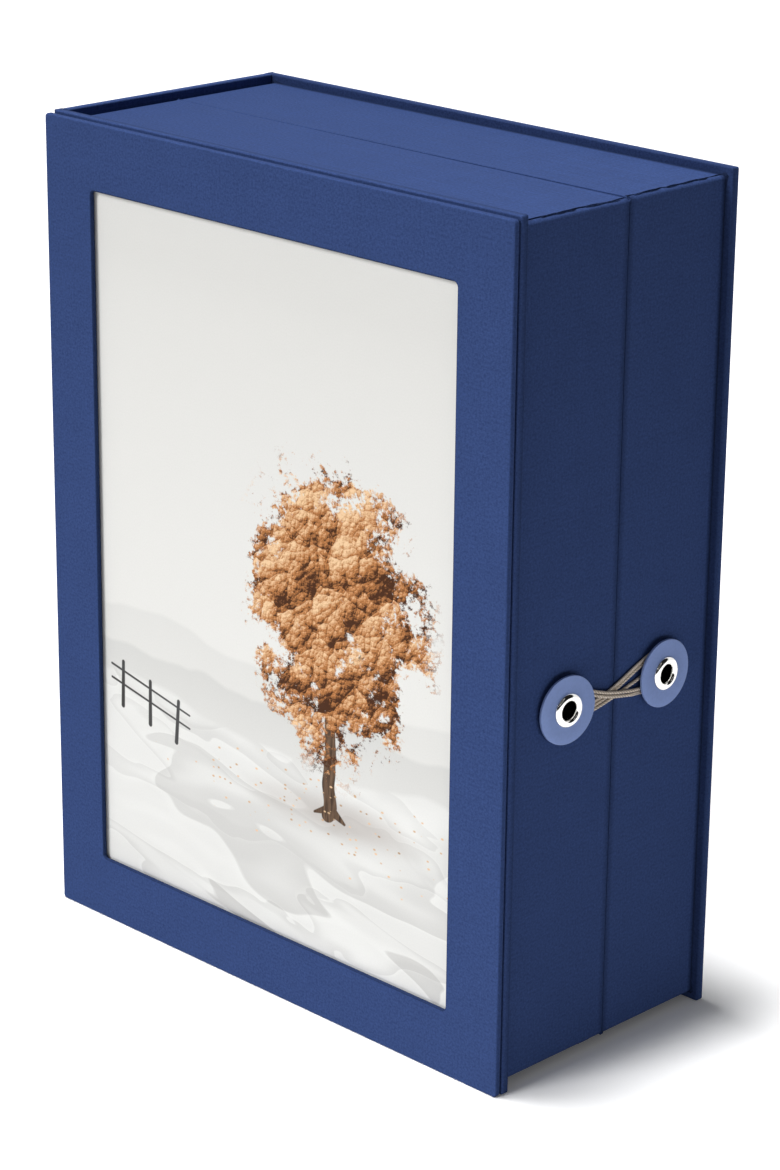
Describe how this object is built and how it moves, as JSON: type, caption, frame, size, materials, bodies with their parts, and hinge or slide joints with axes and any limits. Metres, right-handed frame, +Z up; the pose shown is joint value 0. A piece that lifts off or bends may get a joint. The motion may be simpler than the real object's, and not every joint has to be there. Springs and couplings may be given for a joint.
{
  "type": "photo storage box",
  "caption": "Cloth-covered photo storage box with a window frame on its front cover, hinged cloth spine, two trays meeting edge to edge and a string tie round eyeletted discs.",
  "frame": {"origin": "middle of the case's footprint, on the surface that it stands on", "axes": "+Z up along the spine, +X from the spine to the fore edge, -Y out of the front cover"},
  "size_m": [0.1514, 0.072, 0.2012],
  "materials": {
    "book_cloth": "matte fine-weave book cloth, royal navy blue",
    "greyboard": "raw grey binder's board",
    "lining_paper": "matte off-white lining paper",
    "print_paper": null,
    "disc_card": "matte periwinkle card",
    "eyelet_metal": "bright nickel",
    "tie_linen": "waxed natural linen cord"
  },
  "bodies": {
    "back": {"back_board": "greyboard", "back_cover_cloth": "book_cloth", "back_tray_floor": "greyboard", "back_tray_head_wall": "greyboard", "back_tray_tail_wall": "greyboard", "back_tray_fore_wall": "greyboard", "back_tray_spine_wall": "greyboard", "back_tray_cloth": "book_cloth", "back_tray_lining": "lining_paper", "back_disc": "disc_card", "back_eyelet": "eyelet_metal", "tie_loop": "tie_linen", "tie_string": "tie_linen"},
    "spine": {"spine_board": "greyboard", "spine_cloth": "book_cloth", "spine_lining": "book_cloth", "front_joint_cloth": "book_cloth", "back_joint_cloth": "book_cloth"},
    "front": {"front_board": "greyboard", "front_cover_cloth": "book_cloth", "window_board": "greyboard", "window_cloth": "book_cloth", "pocket_strip_head": "greyboard", "pocket_strip_tail": "greyboard", "pocket_strip_spine": "greyboard", "front_tray_floor": "greyboard", "front_tray_head_wall": "greyboard", "front_tray_tail_wall": "greyboard", "front_tray_fore_wall": "greyboard", "front_tray_spine_wall": "greyboard", "front_tray_cloth": "book_cloth", "front_tray_lining": "lining_paper", "front_disc": "disc_card", "front_eyelet": "eyelet_metal"},
    "print": {"photo_print": "print_paper"}
  },
  "joints": [
    {"name": "back_hinge", "type": "hinge", "parent": "back", "child": "spine", "pos_m": [-0.074, 0.03605, 0.1], "axis": [0, 0, -1], "range_deg": [0, 90], "deforming": ["tie_string"]},
    {"name": "front_hinge", "type": "hinge", "parent": "spine", "child": "front", "pos_m": [-0.074, -0.03395, 0.1], "axis": [0, 0, -1], "range_deg": [0, 90], "deforming": ["tie_string"]},
    {"name": "print_slide", "type": "slide", "parent": "front", "child": "print", "axis": [1, 0, 0], "range_m": [0, 0.138]}
  ]
}
